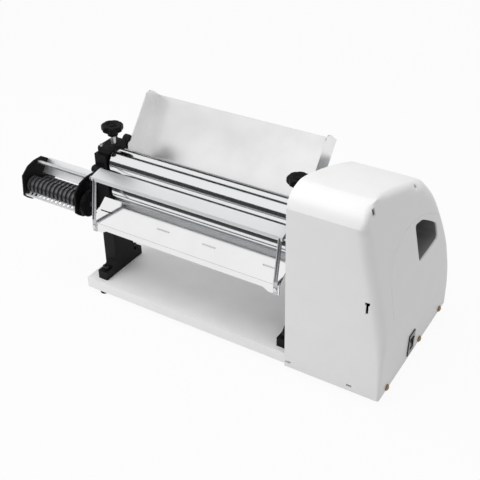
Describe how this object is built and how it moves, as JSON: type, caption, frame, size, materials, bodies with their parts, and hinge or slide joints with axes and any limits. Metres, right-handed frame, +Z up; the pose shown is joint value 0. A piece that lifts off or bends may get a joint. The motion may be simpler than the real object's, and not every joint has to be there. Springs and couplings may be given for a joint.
{
  "type": "electric pasta maker",
  "caption": "Electric sheet roller: two chromed rollers on cast stands with gap knobs, guard and chute, feed hopper, moulded drive housing and a side strip cutter.",
  "frame": {"origin": "middle of the footprint box, on the floor under the rubber feet", "axes": "+X along the rollers towards the drive housing, +Y from the operator's side to the back, +Z up"},
  "size_m": [0.8505, 0.3846, 0.3997],
  "materials": {
    "pan": "satin light grey powder coat",
    "rubber": "matte black",
    "casting": "satin black paint on cast iron",
    "bolt_steel": "bright zinc",
    "bar_steel": "polished bar",
    "bronze": "sintered bronze",
    "plate_steel": "grey paint",
    "cover": "fine satin white moulding",
    "cover_screw": "dull brown brass",
    "grip": "light grey moulding",
    "switch_black": "black",
    "gland_black": "black nylon",
    "gearbox_grey": "bare casting",
    "motor_grey": "dark grey paint",
    "capacitor_case": "dark case",
    "terminal_case": "cream nylon",
    "spring_steel": "spring wire",
    "roller_chrome": "hard chrome, ground and polished",
    "gear_steel": "machined, oiled",
    "spindle_steel": "turned and threaded",
    "knob": "satin black phenolic",
    "sheet_steel": "polished stainless sheet",
    "cutter_rings": "dark blackened steel"
  },
  "bodies": {
    "machine": {"base_pan": "pan", "rubber_feet": "rubber", "left_stand": "casting", "right_stand": "casting", "stand_bolts": "bolt_steel", "tie_bars": "bar_steel", "bridges": "casting", "bridge_screws": "bolt_steel", "lower_bushes": "bronze", "lower_scraper": "bar_steel", "hinge_pins": "bar_steel", "dock_pins": "bar_steel", "drive_plate": "plate_steel", "housing_cover": "cover", "cover_screws": "cover_screw", "side_grip": "grip", "switch_frame": "switch_black", "cable_gland": "gland_black", "motor_bracket": "plate_steel", "gearbox": "gearbox_grey", "motor_body": "motor_grey", "motor_end_cap": "motor_grey", "capacitor": "capacitor_case", "terminal_block": "terminal_case"},
    "block_carriage": {"bearing_blocks": "casting", "upper_bushes": "bronze", "gap_springs": "spring_steel"},
    "upper_roll": {"upper_roller": "roller_chrome", "upper_gear": "gear_steel"},
    "lower_roll": {"lower_roller": "roller_chrome", "lower_gear": "gear_steel", "drive_gear": "gear_steel", "transfer_gear": "gear_steel"},
    "pinion_shaft": {"pinion": "gear_steel"},
    "left_gap_knob": {"left_spindle": "spindle_steel", "left_knob": "knob"},
    "right_gap_knob": {"right_spindle": "spindle_steel", "right_knob": "knob"},
    "finger_guard": {"guard_plate": "sheet_steel", "guard_rods": "bar_steel", "chute": "sheet_steel", "chute_screws": "bolt_steel"},
    "feed_hopper": {"hopper": "sheet_steel", "hopper_studs": "bar_steel"},
    "strip_cutter": {"cutter_plate_left": "casting", "cutter_plate_right": "casting", "cutter_tie_rods": "bar_steel", "front_comb": "sheet_steel", "rear_comb": "sheet_steel", "feed_plate": "sheet_steel"},
    "front_cutting_roll": {"front_cutter": "cutter_rings", "front_cutter_gears": "gear_steel"},
    "rear_cutting_roll": {"rear_cutter": "cutter_rings", "rear_cutter_gear": "gear_steel"},
    "switch_rocker": {"rocker": "switch_black"}
  },
  "joints": [
    {"name": "roller_gap", "type": "slide", "parent": "machine", "child": "block_carriage", "axis": [0, 0, 1], "range_m": [0, 0.005], "deforming": ["gap_springs"]},
    {"name": "lower_roller_spin", "type": "hinge", "parent": "machine", "child": "lower_roll", "pos_m": [0.0012, -0.09851, 0.2365], "axis": [1, 0, 0], "continuous": true},
    {"name": "upper_roller_spin", "type": "hinge", "parent": "block_carriage", "child": "upper_roll", "pos_m": [0.0012, -0.09851, 0.2941], "axis": [1, 0, 0], "continuous": true},
    {"name": "pinion_spin", "type": "hinge", "parent": "machine", "child": "pinion_shaft", "pos_m": [0.2612, -0.05255, 0.19793], "axis": [1, 0, 0], "continuous": true},
    {"name": "left_knob_turn", "type": "hinge", "parent": "block_carriage", "child": "left_gap_knob", "pos_m": [-0.2114, -0.09851, 0.35], "axis": [0, 0, 1], "range_deg": [0, 721]},
    {"name": "right_knob_turn", "type": "hinge", "parent": "block_carriage", "child": "right_gap_knob", "pos_m": [0.2032, -0.09851, 0.35], "axis": [0, 0, 1], "range_deg": [0, 721]},
    {"name": "guard_swing", "type": "hinge", "parent": "machine", "child": "finger_guard", "pos_m": [0.0012, -0.13681, 0.2851], "axis": [-1, 0, 0], "range_deg": [0, 70]},
    {"name": "hopper_lift", "type": "slide", "parent": "machine", "child": "feed_hopper", "axis": [0, 0.6266, 0.7793], "range_m": [0, 0.12]},
    {"name": "cutter_release", "type": "slide", "parent": "machine", "child": "strip_cutter", "axis": [-1, 0, 0], "range_m": [0, 0.06]},
    {"name": "front_cutter_spin", "type": "hinge", "parent": "strip_cutter", "child": "front_cutting_roll", "pos_m": [-0.3488, -0.13669, 0.19832], "axis": [1, 0, 0], "continuous": true},
    {"name": "rear_cutter_spin", "type": "hinge", "parent": "strip_cutter", "child": "rear_cutting_roll", "pos_m": [-0.3488, -0.1062, 0.18569], "axis": [1, 0, 0], "continuous": true},
    {"name": "rocker_press", "type": "hinge", "parent": "machine", "child": "switch_rocker", "pos_m": [0.4187, -0.03329, 0.0435], "axis": [0, -1, 0], "range_deg": [0, 16]}
  ],
  "couplings": [
    {"joint": "upper_roller_spin", "follows": "lower_roller_spin", "ratio": -1},
    {"joint": "pinion_spin", "follows": "lower_roller_spin", "ratio": -3},
    {"joint": "front_cutter_spin", "follows": "lower_roller_spin", "ratio": -1},
    {"joint": "rear_cutter_spin", "follows": "lower_roller_spin", "ratio": 1},
    {"joint": "left_knob_turn", "follows": "roller_gap", "rad_per_m": 2513.3},
    {"joint": "right_knob_turn", "follows": "roller_gap", "rad_per_m": 2513.3}
  ]
}
